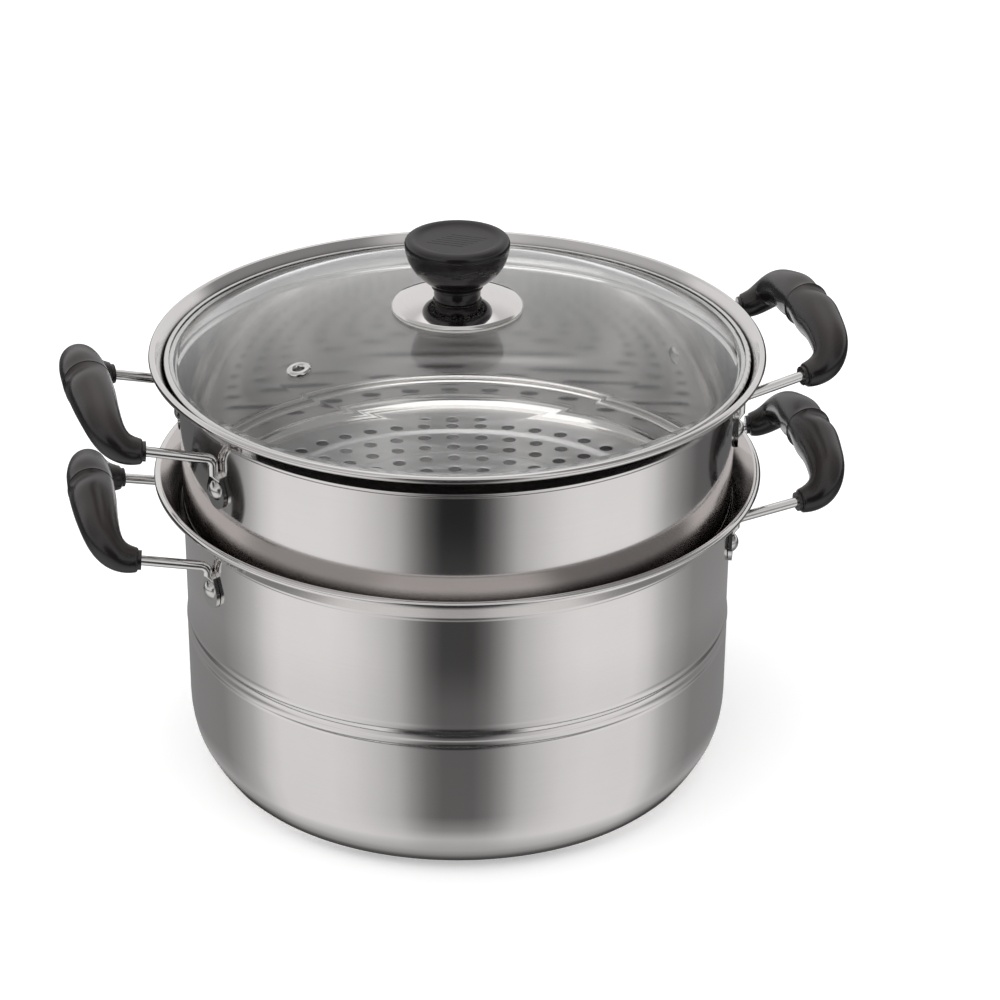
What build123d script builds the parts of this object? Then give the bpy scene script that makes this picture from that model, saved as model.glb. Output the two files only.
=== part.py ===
"""A 28 cm stainless steel steamer pot: stock pot, perforated steamer and domed glass lid.

The origin is on the table under the middle of the pot, +Z is up and the handles lie along X.
All sizes are in millimetres.
"""
import os
from math import asin, atan, copysign, cos, degrees, radians, sin, sqrt

from build123d import *

os.makedirs("parts", exist_ok=True)

# Pressed sheet that the pot and the steamer are drawn from
sheet = 0.6
wall_radius = 134.4

# Rolled rim, the same on the pot and on the steamer
ledge_reach = 1.2
flare_reach = 10.6
lip_roll_radius = 1.8
flare_radius = 2.5
flare_slope = 55.0
ledge_rise = 2.4

# Pot
pot_lip_height = 152.9
base_corner_radius = 16.0
belly_radius = 62.0
belly_turn = 23.4
lower_wall_gain = 0.5
bead_height = 77.0
bead_rise = 12.0
bead_swell = 0.9
bead_edge_share = 0.3

# Steamer
steamer_lip_height = 215.2
steamer_turn = 4.2
skirt_step = 5.9
shoulder_radius = 2.5
shoulder_inner_radius = 1.0
seat_gap = 0.3
floor_height = 125.0
floor_corner_radius = 7.0

# Embossed and perforated floor of the steamer
hole_radius = 3.4
hole_sides = 8
hole_pitch = 14.7
hole_first_angle = 80.4
ring_radius_shares = (0.884, 0.776, 0.67, 0.533, 0.418, 0.315, 0.207, 0.1)
outer_step_share = 0.831
inner_step_share = 0.601
step_depth = 1.2
step_run = 5.0
cut_overrun = 2.0

# Steel band round the glass
band_inset = 5.4
band_sheet = 0.5
band_fit = 0.1
band_top_radius = 1.0
band_foot_radius = 3.0
band_top_reach = 2.4
band_foot_reach = 4.6

# Domed glass
glass_thickness = 3.0
glass_play = 1.0
dome_rise = 23.8
dome_radius = 477.0
dome_inset = 15.3
dome_edge_radius = 12.0
glass_fall = 40.0
flange_bend_radius = 6.0
glass_bore_radius = 4.0

# Steam vent eyelet
vent_distance = 92.0
vent_angle = -153.8
vent_bore_radius = 2.5
vent_tube = 0.6
vent_head_radius = 5.8
vent_head_rise = 1.2
vent_foot_radius = 4.6
vent_foot_rise = 0.8
vent_fit = 0.1

# Polished saucer under the knob
saucer_radius = 31.5
saucer_sheet = 1.0
saucer_flat_radius = 11.0
saucer_slope = 14.0
saucer_bend_radius = 12.0
saucer_rim_radius = 3.0
saucer_rim_turn = 50.0
saucer_seal = 0.8
saucer_seal_width = 2.2

# Knob
knob_neck_radius = 11.2
knob_neck_height = 3.0
knob_collar_radius = 12.3
knob_collar_height = 1.6
knob_radius = 25.1
knob_height = 28.4
knob_rim_height = 25.0
knob_crown_radius = 21.8
knob_dish_radius = 18.0
knob_dish_depth = 1.6
insert_radius = 4.5
insert_length = 13.0
knob_socket_length = 17.0
thread_radius = 2.5
fit = 0.05

# Screw and washers that clamp the knob from under the glass
inner_seal_radius = 10.0
inner_seal_height = 1.2
washer_radius = 8.5
washer_height = 1.0
screw_head_radius = 4.5
screw_head_height = 2.8
screw_reach = 22.0

# Rivets
pot_rivet_height = 119.2
steamer_rivet_height = 176.0
rivet_shank_radius = 2.5
rivet_head_radius = 4.75
rivet_head_rise = 2.8
rivet_foot_radius = 4.2
rivet_foot_rise = 1.4

# Steel legs of the handles
rod_radius = 2.4
tab_thickness = 1.8
tab_radius = 7.6
tab_drop = 1.7
tab_neck_half_width = 5.0
tab_neck_height = 5.0
rod_start_height = 8.4
rod_bend_share = 0.7
rod_bend_radius = 3.9
rod_reach = 23.9
grip_half_width = 44.6
pot_grip_lift = 18.3
steamer_grip_lift = 23.3
socket_depth = 12.0

# Moulded grips
grip_reach = 20.5
grip_rise = 17.6
arch_shares = ((0.22, 1.0, 0.05), (0.92, 0.96, 0.12), (1.0, 1.07, 1.0), (1.0, 0.0, 1.0))
grip_middle_radius = 11.2
grip_station_shares = (0.0, 0.06, 0.2, 0.35, 0.5, 0.65, 0.82, 1.0)
grip_girth_shares = (0.54, 0.6, 0.69, 0.78, 0.86, 0.93, 0.98, 1.0)
collar_share = 0.42
collar_length = 1.6

# Places worked out from the sizes above
neck_radius = wall_radius + ledge_reach
lip_radius = neck_radius + flare_reach
flare_turn = 90 - flare_slope
roll_rise = lip_roll_radius * cos(radians(flare_slope))
roll_reach = lip_roll_radius * sin(radians(flare_slope))
flare_centre_radius = neck_radius + flare_radius
flare_straight_start = flare_centre_radius - flare_radius * sin(radians(flare_slope))
flare_straight = (lip_radius - roll_reach - flare_straight_start) / cos(radians(flare_slope))
neck_drop = (
    flare_radius * cos(radians(flare_slope))
    + flare_straight * sin(radians(flare_slope))
    - roll_rise
)
ledge_step = neck_radius + sheet - wall_radius
pot_ledge_height = pot_lip_height - neck_drop - ledge_rise
steamer_ledge_height = steamer_lip_height - neck_drop - ledge_rise
skirt_radius = wall_radius - skirt_step
floor_radius = skirt_radius - floor_corner_radius
outer_step_radius = floor_radius * outer_step_share
inner_step_radius = floor_radius * inner_step_share
band_radius = lip_radius - band_inset
glass_radius = band_radius - band_sheet - glass_play
dome_reach = glass_radius - dome_inset
grip_distance = wall_radius + rod_reach
rivet_angle = degrees(asin(grip_half_width / wall_radius))


def side_step_bend(step, rise):
    """Angle and total radius of two equal and opposite bends that move a run sideways."""
    turn = 2 * atan(abs(step) / rise)
    return degrees(turn), rise / sin(turn)


def draw_face(start, heading, runs, depth, shorten=0):
    """Draw one face of a bent sheet and return its two ends and its last heading.

    The heading is measured from +X of its plane. A run is (0, length) for a straight or
    (radius, turn) for a bend, with left turns positive. The face lies depth to the left.
    """
    spot = Vector(*start)
    first = spot + Vector(0, depth).rotate(Axis.Z, heading)
    corner = first
    for number, (bend, amount) in enumerate(runs):
        if bend == 0:
            length = amount - (shorten if number == len(runs) - 1 else 0)
            spot = spot + Vector(length, 0).rotate(Axis.Z, heading)
            following = spot + Vector(0, depth).rotate(Axis.Z, heading)
            Line(corner, following)
        else:
            signed = copysign(bend, amount)
            centre = spot + Vector(0, signed).rotate(Axis.Z, heading)
            halfway = centre - Vector(0, signed - depth).rotate(Axis.Z, heading + amount / 2)
            heading = heading + amount
            spot = centre - Vector(0, signed).rotate(Axis.Z, heading)
            following = centre - Vector(0, signed - depth).rotate(Axis.Z, heading)
            ThreePointArc(corner, halfway, following)
        corner = following
    return first, corner, heading


def draw_sheet(start, runs, thickness):
    """Draw the closed outline of a bent sheet, with the walked line as one of its faces."""
    near_start, near_end, _ = draw_face(start, 0, runs, 0)
    far_start, far_end, _ = draw_face(start, 0, runs, thickness)
    Line(near_start, far_start)
    Line(near_end, far_end)


def draw_rim(ledge_height):
    """Draw the closed outline of a vessel's rim: the ledge, the flare and the rolled lip."""
    turn, bends = side_step_bend(ledge_step, ledge_rise)
    runs = [
        (bends / 2, -turn),
        (bends / 2, turn),
        (flare_radius - sheet, -flare_turn),
        (0, flare_straight),
    ]
    hidden = sqrt(lip_roll_radius**2 - (lip_roll_radius - sheet) ** 2)
    start = (wall_radius, ledge_height)
    outer_start, outer_end, _ = draw_face(start, 90, runs, 0, shorten=hidden)
    inner_start, inner_end, heading = draw_face(start, 90, runs, sheet)
    Line(outer_start, inner_start)
    under_roll = inner_end - Vector(0, 2 * lip_roll_radius).rotate(Axis.Z, heading)
    ThreePointArc(inner_end, under_roll, outer_end)


def radial_plane(angle, distance, height):
    """Plane at a point round the vessel: its X points outward and its Y points up."""
    outward = Vector(1, 0, 0).rotate(Axis.Z, angle)
    sideways = Vector(0, 1, 0).rotate(Axis.Z, angle)
    return Plane(outward * distance + Vector(0, 0, height), x_dir=outward, z_dir=-sideways)


def rivet_angles(side, turn):
    """Angles of one handle's two rivets: side is 1 for the right handle and -1 for the left."""
    middle = turn if side > 0 else turn + 180
    return {"front": middle - side * rivet_angle, "back": middle + side * rivet_angle}


def cut_rivet_holes(height, turn):
    """Cut one vessel's four rivet holes in the part being built."""
    for side in (1, -1):
        for angle in rivet_angles(side, turn).values():
            hole_plane = radial_plane(angle, wall_radius, height)
            drill = Plane(hole_plane.origin, x_dir=hole_plane.y_dir, z_dir=hole_plane.x_dir)
            with BuildSketch(drill) as rivet_hole:
                Circle(rivet_shank_radius + fit)
            extrude(rivet_hole.sketch, amount=cut_overrun, both=True, mode=Mode.SUBTRACT)


# Pot: one deep drawn vessel with a rounded base, a decorative bead and a ledge for the steamer
lower_wall_radius = wall_radius + lower_wall_gain
corner_turn = 90 - belly_turn
belly_centre_radius = lower_wall_radius - belly_radius
base_flat_radius = belly_centre_radius + (belly_radius - base_corner_radius) * cos(radians(belly_turn))
wall_start_height = base_corner_radius + (belly_radius - base_corner_radius) * sin(radians(belly_turn))
bead_in_turn, bead_in_radius = side_step_bend(bead_swell, bead_rise / 2)
bead_out_turn, bead_out_radius = side_step_bend(bead_swell + lower_wall_gain, bead_rise / 2)
bead_foot_height = bead_height - bead_rise / 2
bead_crown_height = bead_height + bead_rise / 2

with BuildPart() as pot_shell:
    with BuildSketch(Plane.XZ):
        with BuildLine():
            draw_sheet(
                (0, 0),
                [
                    (0, base_flat_radius),
                    (base_corner_radius, corner_turn),
                    (belly_radius, belly_turn),
                    (0, bead_foot_height - wall_start_height),
                    (bead_in_radius * bead_edge_share, -bead_in_turn),
                    (bead_in_radius * (1 - bead_edge_share), bead_in_turn),
                    (bead_out_radius * (1 - bead_edge_share), bead_out_turn),
                    (bead_out_radius * bead_edge_share, -bead_out_turn),
                    (0, pot_ledge_height - bead_crown_height),
                ],
                sheet,
            )
        make_face()
    revolve(axis=Axis.Z)
    cut_rivet_holes(pot_rivet_height, 0)
pot_shell.part.label = "pot_shell"
export_step(pot_shell.part, "parts/pot_shell.step")


# Pot rim: the top of the same sheet, stepped out to carry the steamer, flared and rolled
with BuildPart() as pot_rim:
    with BuildSketch(Plane.XZ):
        with BuildLine():
            draw_rim(pot_ledge_height)
        make_face()
    revolve(axis=Axis.Z)
pot_rim.part.label = "pot_rim"
export_step(pot_rim.part, "parts/pot_rim.step")


# Steamer wall: its shoulder rests on the pot's ledge and its skirt hangs down inside the pot
ledge_turn, ledge_bends = side_step_bend(ledge_step, ledge_rise)
ledge_nose_radius = ledge_bends / 2 + sheet
ledge_nose_centre_radius = wall_radius + ledge_bends / 2
shoulder_reach = ledge_nose_centre_radius - (wall_radius - shoulder_radius)
shoulder_lift = sqrt((ledge_nose_radius + shoulder_radius + seat_gap) ** 2 - shoulder_reach**2)
shoulder_height = pot_ledge_height + shoulder_lift - shoulder_radius
shoulder_run = wall_radius - shoulder_radius - skirt_radius - shoulder_inner_radius

with BuildPart() as steamer_shell:
    with BuildSketch(Plane.XZ):
        with BuildLine():
            draw_sheet(
                (floor_radius, floor_height),
                [
                    (floor_corner_radius, 90),
                    (0, shoulder_height - shoulder_inner_radius - floor_height - floor_corner_radius),
                    (shoulder_inner_radius, -90),
                    (0, shoulder_run),
                    (shoulder_radius, 90),
                    (0, steamer_ledge_height - shoulder_height - shoulder_radius),
                ],
                sheet,
            )
        make_face()
    revolve(axis=Axis.Z)
    cut_rivet_holes(steamer_rivet_height, steamer_turn)
steamer_shell.part.label = "steamer_shell"
export_step(steamer_shell.part, "parts/steamer_shell.step")


# Steamer rim: the same flared and rolled rim, which carries the lid
with BuildPart() as steamer_rim:
    with BuildSketch(Plane.XZ):
        with BuildLine():
            draw_rim(steamer_ledge_height)
        make_face()
    revolve(axis=Axis.Z)
steamer_rim.part.label = "steamer_rim"
export_step(steamer_rim.part, "parts/steamer_rim.step")


# Steamer floor: embossed into three levels and punched with rings of round steam holes
step_turn, step_bends = side_step_bend(step_depth, step_run)
inner_flat = inner_step_radius - step_run / 2
middle_flat = outer_step_radius - inner_step_radius - step_run
outer_flat = floor_radius - outer_step_radius - step_run / 2

with BuildPart() as steamer_floor:
    with BuildSketch(Plane.XZ):
        with BuildLine():
            draw_sheet(
                (0, floor_height),
                [
                    (0, inner_flat),
                    (step_bends / 2, -step_turn),
                    (step_bends / 2, step_turn),
                    (0, middle_flat),
                    (step_bends / 2, step_turn),
                    (step_bends / 2, -step_turn),
                    (0, outer_flat),
                ],
                sheet,
            )
        make_face()
    revolve(axis=Axis.Z)
    with BuildSketch(Plane.XY.offset(floor_height - cut_overrun)):
        for radius_share in ring_radius_shares:
            ring_radius = floor_radius * radius_share
            hole_count = round(360 / degrees(hole_pitch / ring_radius))
            with PolarLocations(ring_radius, hole_count, start_angle=hole_first_angle):
                RegularPolygon(hole_radius, hole_sides)
    extrude(amount=sheet + 2 * cut_overrun, mode=Mode.SUBTRACT)
steamer_floor.part.label = "steamer_floor"
export_step(steamer_floor.part, "parts/steamer_floor.step")


# Lid band: a rolled channel that holds the glass and rests on the steamer's flare
flare_end_height = steamer_lip_height + roll_rise
foot_to_flare_end = lip_radius - roll_reach - (band_radius - band_foot_radius)
foot_reach_share = foot_to_flare_end * sin(radians(flare_slope))
foot_drop = (foot_reach_share - band_foot_radius - seat_gap) / cos(radians(flare_slope))
band_bottom = flare_end_height - foot_drop - band_foot_radius
band_height = glass_thickness + 2 * band_sheet + 2 * band_fit
band_top = band_bottom + band_height

with BuildPart() as lid_band:
    with BuildSketch(Plane.XZ):
        with BuildLine():
            draw_sheet(
                (band_radius - band_top_reach, band_top),
                [
                    (0, band_top_reach - band_top_radius),
                    (band_top_radius, -90),
                    (0, band_height - band_top_radius - band_foot_radius),
                    (band_foot_radius, -90),
                    (0, band_foot_reach - band_foot_radius),
                ],
                -band_sheet,
            )
        make_face()
    revolve(axis=Axis.Z)
lid_band.part.label = "lid_band"
export_step(lid_band.part, "parts/lid_band.step")


# Lid glass: a shallow dome with a flat flange and a rounded edge
flange_height = band_top - band_sheet - band_fit
apex_height = flange_height + dome_rise
dome_turn = degrees(asin(dome_reach / dome_radius))
dome_fall = (
    dome_radius * (1 - cos(radians(dome_turn)))
    + dome_edge_radius * (cos(radians(dome_turn)) - cos(radians(glass_fall)))
    + flange_bend_radius * (1 - cos(radians(glass_fall)))
)
glass_slope_length = (dome_rise - dome_fall) / sin(radians(glass_fall))
flange_start = (
    dome_reach
    + dome_edge_radius * (sin(radians(glass_fall)) - sin(radians(dome_turn)))
    + glass_slope_length * cos(radians(glass_fall))
    + flange_bend_radius * sin(radians(glass_fall))
)
glass_runs = [
    (dome_radius, -dome_turn),
    (dome_edge_radius, -(glass_fall - dome_turn)),
    (0, glass_slope_length),
    (flange_bend_radius, glass_fall),
    (0, glass_radius - glass_thickness / 2 - flange_start),
]


def dome_top(distance):
    """Height of the glass's upper face at a distance from its middle."""
    return apex_height - dome_radius + sqrt(dome_radius**2 - distance**2)


def vent_plane():
    """Plane through the vent: its X lies along the glass and its Y points out of it."""
    tilt = degrees(asin(vent_distance / dome_radius))
    upright = radial_plane(vent_angle, vent_distance, dome_top(vent_distance))
    return Plane(upright.origin, x_dir=upright.x_dir.rotate(Axis((0, 0, 0), upright.z_dir), -tilt),
                 z_dir=upright.z_dir)


with BuildPart() as lid_glass:
    with BuildSketch(Plane.XZ):
        with BuildLine():
            upper_start, upper_end, _ = draw_face((0, apex_height), 0, glass_runs, 0)
            lower_start, lower_end, _ = draw_face((0, apex_height), 0, glass_runs, -glass_thickness)
            Line(upper_start, lower_start)
            edge_middle = (upper_end + lower_end) / 2 + Vector(glass_thickness / 2, 0)
            ThreePointArc(upper_end, edge_middle, lower_end)
        make_face()
    revolve(axis=Axis.Z)
    with BuildSketch(Plane.XY.offset(apex_height - glass_thickness - cut_overrun)):
        Circle(glass_bore_radius)
    extrude(amount=glass_thickness + 2 * cut_overrun, mode=Mode.SUBTRACT)
    eyelet_plane = vent_plane()
    with BuildSketch(Plane(eyelet_plane.origin, x_dir=eyelet_plane.x_dir, z_dir=eyelet_plane.y_dir)):
        Circle(vent_bore_radius + vent_tube + vent_fit)
    extrude(amount=glass_thickness + cut_overrun, both=True, mode=Mode.SUBTRACT)
lid_glass.part.label = "lid_glass"
export_step(lid_glass.part, "parts/lid_glass.step")


# Vent eyelet: a flanged tube pressed through the glass
with BuildPart() as vent_eyelet:
    with BuildSketch(vent_plane()):
        with BuildLine():
            tube_radius = vent_bore_radius + vent_tube
            foot_height = -glass_thickness - vent_fit
            head_crown = (vent_bore_radius + vent_head_radius) / 2
            ThreePointArc(
                (vent_head_radius, vent_fit),
                (head_crown, vent_fit + vent_head_rise),
                (vent_bore_radius, vent_fit),
            )
            Polyline(
                (vent_bore_radius, vent_fit),
                (vent_bore_radius, foot_height - vent_foot_rise),
                (vent_foot_radius, foot_height - vent_foot_rise),
                (vent_foot_radius, foot_height),
                (tube_radius, foot_height),
                (tube_radius, vent_fit),
                (vent_head_radius, vent_fit),
            )
        make_face()
    revolve(axis=Axis(vent_plane().origin, vent_plane().y_dir))
vent_eyelet.part.label = "vent_eyelet"
export_step(vent_eyelet.part, "parts/vent_eyelet.step")


# Saucer: a polished steel dish that spreads the knob's load to the glass through a thin seal
rim_heading = saucer_slope + saucer_rim_turn
saucer_bend_reach = saucer_bend_radius * sin(radians(saucer_slope))
saucer_rim_reach = saucer_rim_radius * (sin(radians(rim_heading)) - sin(radians(saucer_slope)))
saucer_slope_length = (
    saucer_radius - saucer_flat_radius - saucer_bend_reach - saucer_rim_reach
) / cos(radians(saucer_slope))
saucer_fall = (
    saucer_bend_radius * (1 - cos(radians(saucer_slope)))
    + saucer_slope_length * sin(radians(saucer_slope))
    + saucer_rim_radius * (cos(radians(saucer_slope)) - cos(radians(rim_heading)))
)
saucer_edge_drop = saucer_sheet * cos(radians(rim_heading))
seal_top = dome_top(saucer_radius - saucer_seal_width) + saucer_seal
knob_height_on_glass = seal_top + saucer_edge_drop + saucer_fall
saucer_bore_radius = thread_radius + fit

with BuildPart() as knob_saucer:
    with BuildSketch(Plane.XZ):
        with BuildLine():
            draw_sheet(
                (saucer_bore_radius, knob_height_on_glass),
                [
                    (0, saucer_flat_radius - saucer_bore_radius),
                    (saucer_bend_radius, -saucer_slope),
                    (0, saucer_slope_length),
                    (saucer_rim_radius, -saucer_rim_turn),
                ],
                -saucer_sheet,
            )
        make_face()
    revolve(axis=Axis.Z)
knob_saucer.part.label = "knob_saucer"
export_step(knob_saucer.part, "parts/knob_saucer.step")


# Saucer seal: a thin silicone ring between the saucer's rim and the glass
seal_outer = saucer_radius
seal_inner = saucer_radius - saucer_seal_width

with BuildPart() as saucer_seal_ring:
    with BuildSketch(Plane.XZ):
        with BuildLine():
            Polyline(
                (seal_inner, dome_top(seal_inner)),
                (seal_inner, seal_top),
                (seal_outer, seal_top),
                (seal_outer, dome_top(seal_outer)),
            )
            seal_middle = (seal_inner + seal_outer) / 2
            ThreePointArc(
                (seal_outer, dome_top(seal_outer)),
                (seal_middle, dome_top(seal_middle)),
                (seal_inner, dome_top(seal_inner)),
            )
        make_face()
    revolve(axis=Axis.Z)
saucer_seal_ring.part.label = "saucer_seal"
export_step(saucer_seal_ring.part, "parts/saucer_seal.step")


# Knob: a moulded bowl on a collared neck, with a shallow dish on top
collar_foot = knob_height_on_glass + knob_neck_height
collar_head = collar_foot + knob_collar_height
bowl_mid_share = 0.78
bowl_lift_share = 0.42

with BuildPart() as knob:
    with BuildSketch(Plane.XZ):
        with BuildLine():
            bowl_mid_radius = knob_neck_radius + (knob_radius - knob_neck_radius) * bowl_mid_share
            bowl_mid_height = collar_head + (
                knob_height_on_glass + knob_rim_height - collar_head
            ) * bowl_lift_share
            rim_point = (knob_radius, knob_height_on_glass + knob_rim_height)
            crown_point = (knob_crown_radius, knob_height_on_glass + knob_height)
            dish_point = (knob_dish_radius, knob_height_on_glass + knob_height - knob_dish_depth)
            Polyline(
                (0, knob_height_on_glass + knob_height - knob_dish_depth),
                (0, knob_height_on_glass + knob_socket_length),
                (insert_radius + fit, knob_height_on_glass + knob_socket_length),
                (insert_radius + fit, knob_height_on_glass),
                (knob_neck_radius, knob_height_on_glass),
                (knob_neck_radius, collar_foot),
            )
            ThreePointArc(
                (knob_neck_radius, collar_foot),
                (knob_collar_radius, (collar_foot + collar_head) / 2),
                (knob_neck_radius, collar_head),
            )
            ThreePointArc((knob_neck_radius, collar_head), (bowl_mid_radius, bowl_mid_height), rim_point)
            TangentArc(rim_point, crown_point, tangent=(0, 1))
            Line(crown_point, dish_point)
            Line(dish_point, (0, knob_height_on_glass + knob_height - knob_dish_depth))
        make_face()
    revolve(axis=Axis.Z)
knob.part.label = "knob"
export_step(knob.part, "parts/knob.step")


# Knob insert: a threaded brass bush moulded into the knob
with BuildPart() as knob_insert:
    with BuildSketch(Plane.XY.offset(knob_height_on_glass + fit)):
        Circle(insert_radius)
        Circle(thread_radius + fit, mode=Mode.SUBTRACT)
    extrude(amount=insert_length)
knob_insert.part.label = "knob_insert"
export_step(knob_insert.part, "parts/knob_insert.step")


# Seal and washer under the glass
glass_bottom = dome_top(inner_seal_radius) - glass_thickness

with BuildPart() as inner_seal:
    with BuildSketch(Plane.XY.offset(glass_bottom)):
        Circle(inner_seal_radius)
        Circle(thread_radius + fit, mode=Mode.SUBTRACT)
    extrude(amount=-inner_seal_height)
inner_seal.part.label = "inner_seal"
export_step(inner_seal.part, "parts/inner_seal.step")

with BuildPart() as knob_washer:
    with BuildSketch(Plane.XY.offset(glass_bottom - inner_seal_height)):
        Circle(washer_radius)
        Circle(thread_radius + fit, mode=Mode.SUBTRACT)
    extrude(amount=-washer_height)
knob_washer.part.label = "knob_washer"
export_step(knob_washer.part, "parts/knob_washer.step")


# Knob screw: a pan headed screw from inside the lid into the insert
screw_seat = glass_bottom - inner_seal_height - washer_height

with BuildPart() as knob_screw:
    with BuildSketch(Plane.XZ):
        with BuildLine():
            Polyline(
                (0, screw_seat - screw_head_height),
                (0, screw_seat + screw_reach),
                (thread_radius, screw_seat + screw_reach),
                (thread_radius, screw_seat),
                (screw_head_radius, screw_seat),
            )
            TangentArc(
                (0, screw_seat - screw_head_height),
                (screw_head_radius, screw_seat),
                tangent=(1, 0),
            )
        make_face()
    revolve(axis=Axis.Z)
knob_screw.part.label = "knob_screw"
export_step(knob_screw.part, "parts/knob_screw.step")


def build_rivets(name, side, turn, rivet_height):
    """One handle's two rivets: domed heads outside, flatter ones inside the vessel."""
    head_start = tab_thickness + fit
    foot_start = -sheet - fit
    with BuildPart() as rivets:
        for angle in rivet_angles(side, turn).values():
            rivet_plane = radial_plane(angle, wall_radius, rivet_height)
            with BuildSketch(rivet_plane):
                with BuildLine():
                    head_top = (head_start + rivet_head_rise, 0)
                    head_edge = (head_start, rivet_head_radius)
                    foot_top = (foot_start - rivet_foot_rise, 0)
                    foot_edge = (foot_start, rivet_foot_radius)
                    Line(foot_top, head_top)
                    TangentArc(head_top, head_edge, tangent=(0, 1))
                    Polyline(
                        head_edge,
                        (head_start, rivet_shank_radius),
                        (foot_start, rivet_shank_radius),
                        foot_edge,
                    )
                    TangentArc(foot_top, foot_edge, tangent=(0, 1))
                make_face()
            revolve(axis=Axis(rivet_plane.origin, rivet_plane.x_dir))
    rivets.part.label = name
    export_step(rivets.part, f"parts/{name}.step")


def build_leg(name, side, place, turn, rivet_height, grip_lift):
    """One steel leg: a rod flattened and punched at the wall, bent outward into the grip."""
    angle = rivet_angles(side, turn)[place]
    wall_plane = radial_plane(angle, wall_radius, rivet_height)
    tab_plane = Plane(
        wall_plane.origin + wall_plane.x_dir * fit,
        x_dir=wall_plane.y_dir.cross(wall_plane.x_dir),
        z_dir=wall_plane.x_dir,
    )
    rod_foot = wall_plane.origin + wall_plane.x_dir * (rod_radius + fit)
    lateral = grip_half_width if place == "back" else -grip_half_width
    exit_point = Vector(side * grip_distance, lateral, rivet_height + grip_lift).rotate(Axis.Z, turn)
    flat_way = Vector(exit_point.X - rod_foot.X, exit_point.Y - rod_foot.Y, 0)
    run_length = flat_way.length
    rod_bend_height = grip_lift * rod_bend_share
    run_rise = grip_lift - rod_bend_height
    rod_plane = Plane(rod_foot, x_dir=flat_way, z_dir=flat_way.cross(Vector(0, 0, 1)))
    inside_share = (run_length + socket_depth) / run_length
    with BuildPart() as leg:
        with BuildLine(rod_plane):
            FilletPolyline(
                (0, rod_start_height),
                (0, rod_bend_height),
                (run_length * inside_share, rod_bend_height + run_rise * inside_share),
                radius=rod_bend_radius,
            )
        with BuildSketch(Plane(rod_foot + Vector(0, 0, rod_start_height), x_dir=tab_plane.x_dir)):
            Circle(rod_radius)
        sweep()
        flat_middle = wall_plane.origin + wall_plane.x_dir * (tab_thickness / 2 + fit)
        with BuildSketch(Plane(rod_foot + Vector(0, 0, rod_start_height), x_dir=tab_plane.x_dir)):
            Circle(rod_radius)
        with BuildSketch(Plane(flat_middle + Vector(0, 0, tab_neck_height), x_dir=tab_plane.x_dir)):
            Ellipse(tab_neck_half_width, tab_thickness / 2)
        loft()
        with BuildSketch(tab_plane):
            with Locations((0, -tab_drop)):
                Circle(tab_radius)
            with Locations((0, tab_neck_height)):
                Circle(tab_neck_half_width)
            make_hull()
            Circle(rivet_shank_radius + fit, mode=Mode.SUBTRACT)
        extrude(amount=tab_thickness)
    leg.part.label = name
    export_step(leg.part, f"parts/{name}.step")
    return leg.part


def build_grip(name, side, turn, exit_height, legs):
    """One moulded grip: collars that take the legs, upright shoulders and a thick bar between."""
    outward = Vector(side, 0, 0).rotate(Axis.Z, turn)
    base = Plane((0, 0, exit_height), x_dir=outward, z_dir=(0, 0, side))
    points = [
        (
            grip_distance + grip_reach * reach_share,
            grip_half_width * width_share,
            side * grip_rise * rise_share,
        )
        for reach_share, width_share, rise_share in arch_shares
    ]
    with BuildLine(base) as arch:
        Bezier(*points)
    arch_line = arch.line.edges()[0]
    across = Vector(0, 0, 1)
    end_way = -(arch_line % 0)
    end_plane = Plane(arch_line @ 0, x_dir=end_way, z_dir=end_way.cross(across))
    end_radius = grip_middle_radius * grip_girth_shares[0]
    collar_radius = grip_middle_radius * collar_share
    collar_start = end_radius - collar_radius
    with BuildPart() as grip:
        for station, girth in zip(grip_station_shares, grip_girth_shares):
            along = arch_line % station
            across = (across - along * across.dot(along)).normalized()
            with BuildSketch(Plane(arch_line @ station, x_dir=across, z_dir=along)):
                Circle(grip_middle_radius * girth)
        loft()
        with BuildSketch(end_plane):
            with BuildLine():
                Polyline(
                    (collar_start, collar_radius),
                    (collar_start + collar_length, collar_radius),
                    (collar_start + collar_length, 0),
                    (0, 0),
                    (0, end_radius),
                )
                RadiusArc((0, end_radius), (collar_start, collar_radius), collar_start)
            make_face()
        revolve(axis=Axis(end_plane.origin, end_way))
        mirror(about=Plane((0, 0, 0), x_dir=outward, z_dir=base.y_dir))
        for leg in legs:
            add(leg, mode=Mode.SUBTRACT)
    grip.part.label = name
    export_step(grip.part, f"parts/{name}.step")


# Handles: two on the pot and two on the steamer, each of a grip, two legs and two rivets
vessels = {
    "pot": (0, pot_rivet_height, pot_grip_lift),
    "steamer": (steamer_turn, steamer_rivet_height, steamer_grip_lift),
}
sides = {"right": 1, "left": -1}
for vessel, (turn, rivet_height, grip_lift) in vessels.items():
    for side_name, side in sides.items():
        build_rivets(f"{vessel}_rivets_{side_name}", side, turn, rivet_height)
        legs = [
            build_leg(f"{vessel}_leg_{side_name}_{place}", side, place, turn, rivet_height, grip_lift)
            for place in ("front", "back")
        ]
        build_grip(f"{vessel}_grip_{side_name}", side, turn, rivet_height + grip_lift, legs)
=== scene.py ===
"""A two tier steamer pot of polished steel with black moulded grips and a domed glass lid.

Metres, with the origin on the table under the middle of the pot and the handles along X.
"""
from math import asin, atan, atan2, copysign, cos, degrees, pi, radians, sin, sqrt

import bmesh
import bpy
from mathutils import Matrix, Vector
from mathutils.geometry import delaunay_2d_cdt


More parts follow.
